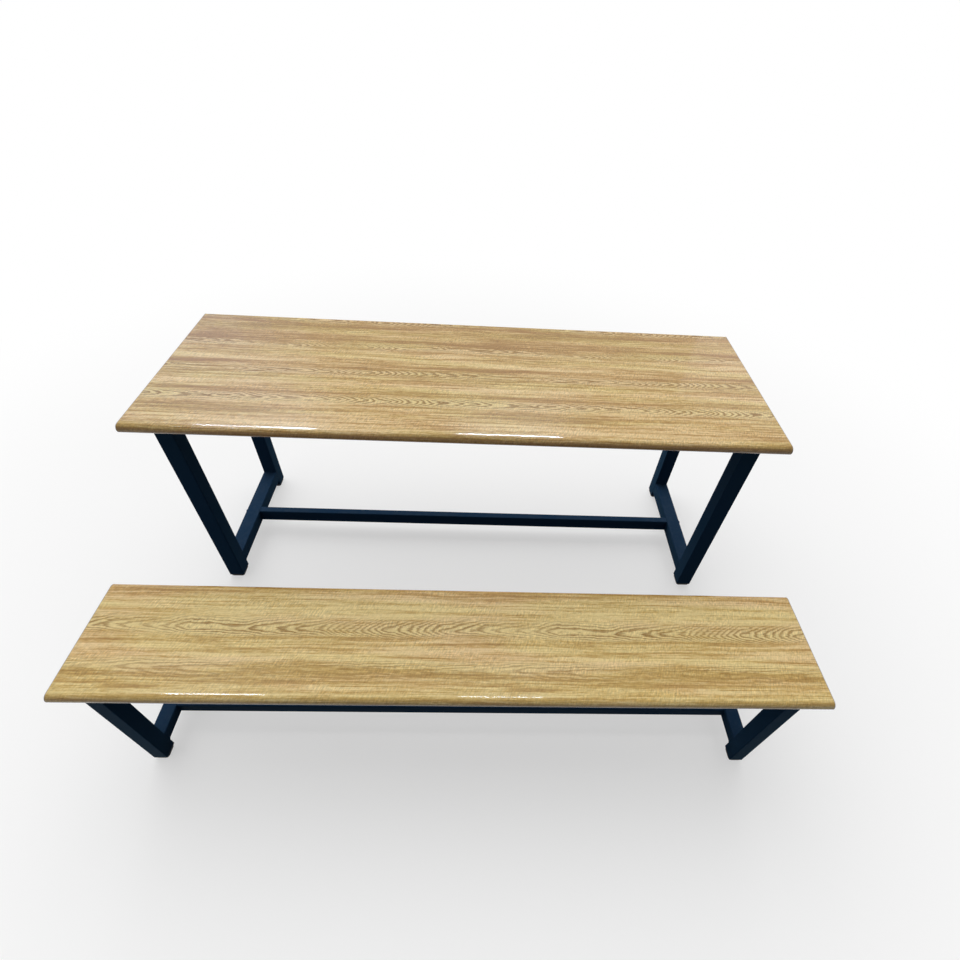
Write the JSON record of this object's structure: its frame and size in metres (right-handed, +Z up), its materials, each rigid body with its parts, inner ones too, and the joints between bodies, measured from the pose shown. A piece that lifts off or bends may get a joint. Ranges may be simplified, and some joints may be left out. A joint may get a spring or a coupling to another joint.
{
  "type": "canteen table and bench set",
  "caption": "Rectangular canteen table with a matching bench: wood-grain laminated boards on welded square-tube end frames joined by low stretchers.",
  "frame": {"origin": "on the floor, under the middle of the whole set", "axes": "+X along the boards, +Y from the bench towards the table, +Z up"},
  "size_m": [1.8, 1.17, 0.75],
  "materials": {
    "decor_laminate": "glossy wood-grain decor laminate",
    "board_core": "raw chipboard",
    "balancing_sheet": "matt brown balancing sheet",
    "end_edging": "satin grey-brown edging strip",
    "powder_coat": "dark blue-black powder coat, satin",
    "black_plastic": "moulded black plastic",
    "dark_fixing": "blackened steel",
    "zinc_fixing": "bright zinc plate",
    "plate_steel": "plain mild steel"
  },
  "bodies": {
    "table": {"table_top_core": "board_core", "table_top_laminate": "decor_laminate", "table_top_backing": "balancing_sheet", "table_right_edging": "end_edging", "table_left_edging": "end_edging", "table_left_lower_rail": "powder_coat", "table_left_top_rail": "powder_coat", "table_left_front_leg": "powder_coat", "table_left_front_foot": "black_plastic", "table_left_front_rail_cap": "black_plastic", "table_left_back_leg": "powder_coat", "table_left_back_foot": "black_plastic", "table_left_back_rail_cap": "black_plastic", "table_right_lower_rail": "powder_coat", "table_right_top_rail": "powder_coat", "table_right_front_leg": "powder_coat", "table_right_front_foot": "black_plastic", "table_right_front_rail_cap": "black_plastic", "table_right_back_leg": "powder_coat", "table_right_back_foot": "black_plastic", "table_right_back_rail_cap": "black_plastic", "table_stretcher": "powder_coat", "table_left_stretcher_plate": "plate_steel", "table_right_stretcher_plate": "plate_steel", "table_stretcher_bolts": "dark_fixing", "table_bolt_washers": "dark_fixing", "table_top_screws": "zinc_fixing"},
    "bench": {"bench_top_core": "board_core", "bench_top_laminate": "decor_laminate", "bench_top_backing": "balancing_sheet", "bench_right_edging": "end_edging", "bench_left_edging": "end_edging", "bench_left_lower_rail": "powder_coat", "bench_left_top_rail": "powder_coat", "bench_left_front_leg": "powder_coat", "bench_left_front_foot": "black_plastic", "bench_left_front_rail_cap": "black_plastic", "bench_left_back_leg": "powder_coat", "bench_left_back_foot": "black_plastic", "bench_left_back_rail_cap": "black_plastic", "bench_right_lower_rail": "powder_coat", "bench_right_top_rail": "powder_coat", "bench_right_front_leg": "powder_coat", "bench_right_front_foot": "black_plastic", "bench_right_front_rail_cap": "black_plastic", "bench_right_back_leg": "powder_coat", "bench_right_back_foot": "black_plastic", "bench_right_back_rail_cap": "black_plastic", "bench_stretcher": "powder_coat", "bench_left_stretcher_plate": "plate_steel", "bench_right_stretcher_plate": "plate_steel", "bench_stretcher_bolts": "dark_fixing", "bench_bolt_washers": "dark_fixing", "bench_top_screws": "zinc_fixing"}
  },
  "joints": [
    {"name": "bench_slide", "type": "slide", "parent": "table", "child": "bench", "axis": [0, 1, 0], "range_m": [-0.3, 0.31]}
  ]
}
